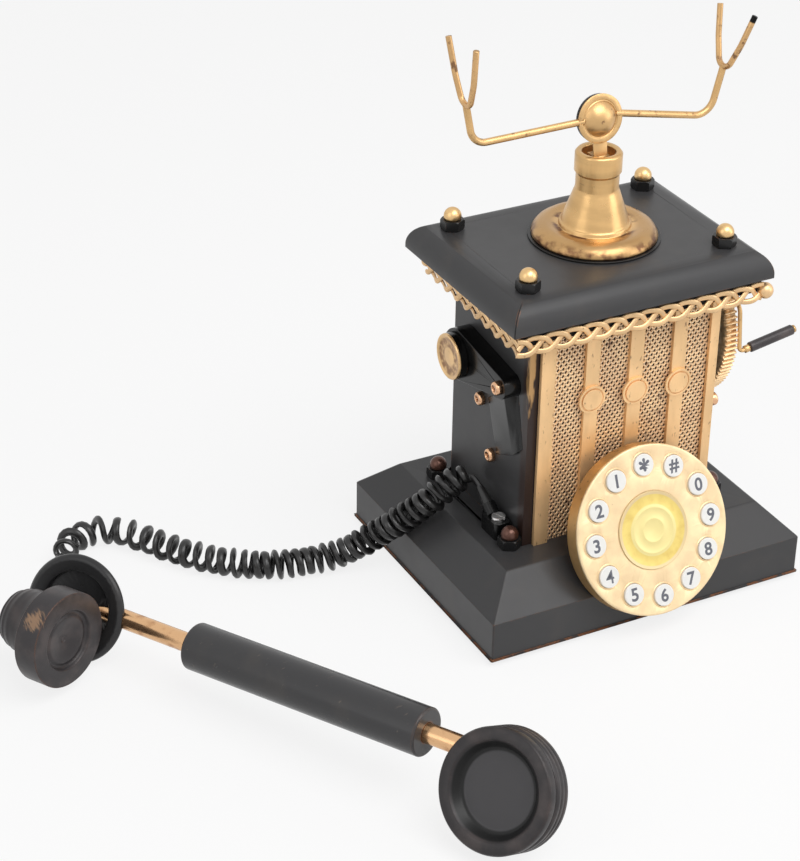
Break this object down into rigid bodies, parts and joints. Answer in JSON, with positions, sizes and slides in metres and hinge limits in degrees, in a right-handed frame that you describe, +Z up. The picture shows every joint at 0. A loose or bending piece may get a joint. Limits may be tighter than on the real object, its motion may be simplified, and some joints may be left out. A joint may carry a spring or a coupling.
{
  "type": "cradle telephone",
  "caption": "Old-style desk telephone: sheet-metal tower on a stepped base, two-armed cradle on a finial, round keypad, side crank with gear, handset on a curly cord.",
  "frame": {"origin": "on the table under the middle of the base", "axes": "+X to the right along the front, -Y towards the user, +Z up"},
  "size_m": [0.3837, 0.3215, 0.2769],
  "materials": {
    "black_sheet": "satin black with copper-brown wear on the edges",
    "bottom_plate": "matte black",
    "rubber": "matte",
    "plain_steel": "plain",
    "antique_gold": "antique gold with brown specks",
    "dial_gold": "satin yellow gold",
    "brass": "polished",
    "copper_eyelet": "polished copper-gold",
    "copper_rod": "polished copper-gold, tarnished",
    "dark_brown": "dark brown, worn",
    "worn_brown": "brown-black with copper wear",
    "black_parts": "satin black",
    "black_plastic": "matte",
    "white_key": "glossy white with grey digits",
    "board_green": "plain",
    "cast_iron": "plain",
    "screw_steel": "bright",
    "black_cord": "glossy black"
  },
  "bodies": {
    "telephone": {"base_shell": "black_sheet", "bottom_plate": "bottom_plate", "rubber_feet": "rubber", "tower_shell": "black_sheet", "lid": "black_sheet", "lid_frame": "plain_steel", "braid_trim": "antique_gold", "grille_mesh": "antique_gold", "grille_strips": "antique_gold", "finial_washer": "black_parts", "finial": "antique_gold", "hex_nuts": "black_parts", "lid_ball_bolts": "brass", "base_ball_bolts": "dark_brown", "cradle_spring": "plain_steel", "hook_switch": "black_plastic", "dial_drum": "antique_gold", "dial_face": "antique_gold", "dial_centre_disc": "dial_gold", "dial_board": "board_green", "magneto_body": "cast_iron", "shaft_bushes": "brass", "side_cover": "black_parts", "side_eyelets": "copper_eyelet", "volume_control": "black_plastic", "ringer_speaker": "black_plastic", "curly_cord": "black_cord", "cord_clamp": "black_plastic", "clamp_screw": "screw_steel"},
    "cradle": {"cradle_stem": "antique_gold", "cradle_hub": "antique_gold", "cradle_back_disc": "black_parts", "cradle_arms": "antique_gold", "cradle_forks": "antique_gold"},
    "crank": {"drive_gear": "antique_gold", "crank_rod": "antique_gold"},
    "grip": {"crank_grip": "dark_brown"},
    "pinion": {"pinion_shaft": "plain_steel"},
    "knob": {"side_knob": "black_parts", "side_knob_cap": "brass"},
    "handset": {"handset_rod": "copper_rod", "handset_grip": "black_parts", "saucer": "black_parts", "mouth_bulb": "worn_brown", "mouth_cap": "worn_brown", "ear_body": "worn_brown", "ear_cap": "worn_brown", "handset_capsules": "black_plastic"},
    "key_star_body": {"key_star": "white_key"},
    "key_hash_body": {"key_hash": "white_key"},
    "key_0_body": {"key_0": "white_key"},
    "key_9_body": {"key_9": "white_key"},
    "key_8_body": {"key_8": "white_key"},
    "key_7_body": {"key_7": "white_key"},
    "key_6_body": {"key_6": "white_key"},
    "key_5_body": {"key_5": "white_key"},
    "key_4_body": {"key_4": "white_key"},
    "key_3_body": {"key_3": "white_key"},
    "key_2_body": {"key_2": "white_key"},
    "key_1_body": {"key_1": "white_key"}
  },
  "joints": [
    {"name": "cradle_press", "type": "slide", "parent": "telephone", "child": "cradle", "axis": [0, 0, -1], "range_m": [0, 0.005], "stiffness_N_per_m": 300, "springref_m": -0.006, "deforming": ["cradle_spring"]},
    {"name": "crank_turn", "type": "hinge", "parent": "telephone", "child": "crank", "pos_m": [0.0583, 0.002, 0.1195], "axis": [1, 0, 0], "range_deg": [-63, 232]},
    {"name": "grip_turn", "type": "hinge", "parent": "crank", "child": "grip", "pos_m": [0.06275, -0.0383, 0.1147], "axis": [0.9857, 0, 0.1685], "continuous": true},
    {"name": "pinion_turn", "type": "hinge", "parent": "telephone", "child": "pinion", "pos_m": [0.0583, 0.002, 0.07315], "axis": [1, 0, 0], "range_deg": [-1392, 378]},
    {"name": "knob_turn", "type": "hinge", "parent": "telephone", "child": "knob", "pos_m": [-0.0524, 0.0137, 0.1172], "axis": [1, 0, 0], "range_deg": [-140, 140]},
    {"name": "handset_lift", "type": "slide", "parent": "telephone", "child": "handset", "axis": [0, 0, 1], "range_m": [0, 0.2]},
    {"name": "key_star_press", "type": "slide", "parent": "telephone", "child": "key_star_body", "axis": [0, 0.9191, -0.3939], "range_m": [0, 0.0011], "stiffness_N_per_m": 400, "springref_m": -0.0008},
    {"name": "key_hash_press", "type": "slide", "parent": "telephone", "child": "key_hash_body", "axis": [0, 0.9191, -0.3939], "range_m": [0, 0.0011], "stiffness_N_per_m": 400, "springref_m": -0.0008},
    {"name": "key_0_press", "type": "slide", "parent": "telephone", "child": "key_0_body", "axis": [0, 0.9191, -0.3939], "range_m": [0, 0.0011], "stiffness_N_per_m": 400, "springref_m": -0.0008},
    {"name": "key_9_press", "type": "slide", "parent": "telephone", "child": "key_9_body", "axis": [0, 0.9191, -0.3939], "range_m": [0, 0.0011], "stiffness_N_per_m": 400, "springref_m": -0.0008},
    {"name": "key_8_press", "type": "slide", "parent": "telephone", "child": "key_8_body", "axis": [0, 0.9191, -0.3939], "range_m": [0, 0.0011], "stiffness_N_per_m": 400, "springref_m": -0.0008},
    {"name": "key_7_press", "type": "slide", "parent": "telephone", "child": "key_7_body", "axis": [0, 0.9191, -0.3939], "range_m": [0, 0.0011], "stiffness_N_per_m": 400, "springref_m": -0.0008},
    {"name": "key_6_press", "type": "slide", "parent": "telephone", "child": "key_6_body", "axis": [0, 0.9191, -0.3939], "range_m": [0, 0.0011], "stiffness_N_per_m": 400, "springref_m": -0.0008},
    {"name": "key_5_press", "type": "slide", "parent": "telephone", "child": "key_5_body", "axis": [0, 0.9191, -0.3939], "range_m": [0, 0.0011], "stiffness_N_per_m": 400, "springref_m": -0.0008},
    {"name": "key_4_press", "type": "slide", "parent": "telephone", "child": "key_4_body", "axis": [0, 0.9191, -0.3939], "range_m": [0, 0.0011], "stiffness_N_per_m": 400, "springref_m": -0.0008},
    {"name": "key_3_press", "type": "slide", "parent": "telephone", "child": "key_3_body", "axis": [0, 0.9191, -0.3939], "range_m": [0, 0.0011], "stiffness_N_per_m": 400, "springref_m": -0.0008},
    {"name": "key_2_press", "type": "slide", "parent": "telephone", "child": "key_2_body", "axis": [0, 0.9191, -0.3939], "range_m": [0, 0.0011], "stiffness_N_per_m": 400, "springref_m": -0.0008},
    {"name": "key_1_press", "type": "slide", "parent": "telephone", "child": "key_1_body", "axis": [0, 0.9191, -0.3939], "range_m": [0, 0.0011], "stiffness_N_per_m": 400, "springref_m": -0.0008}
  ],
  "couplings": [
    {"joint": "pinion_turn", "follows": "crank_turn", "ratio": -6}
  ]
}
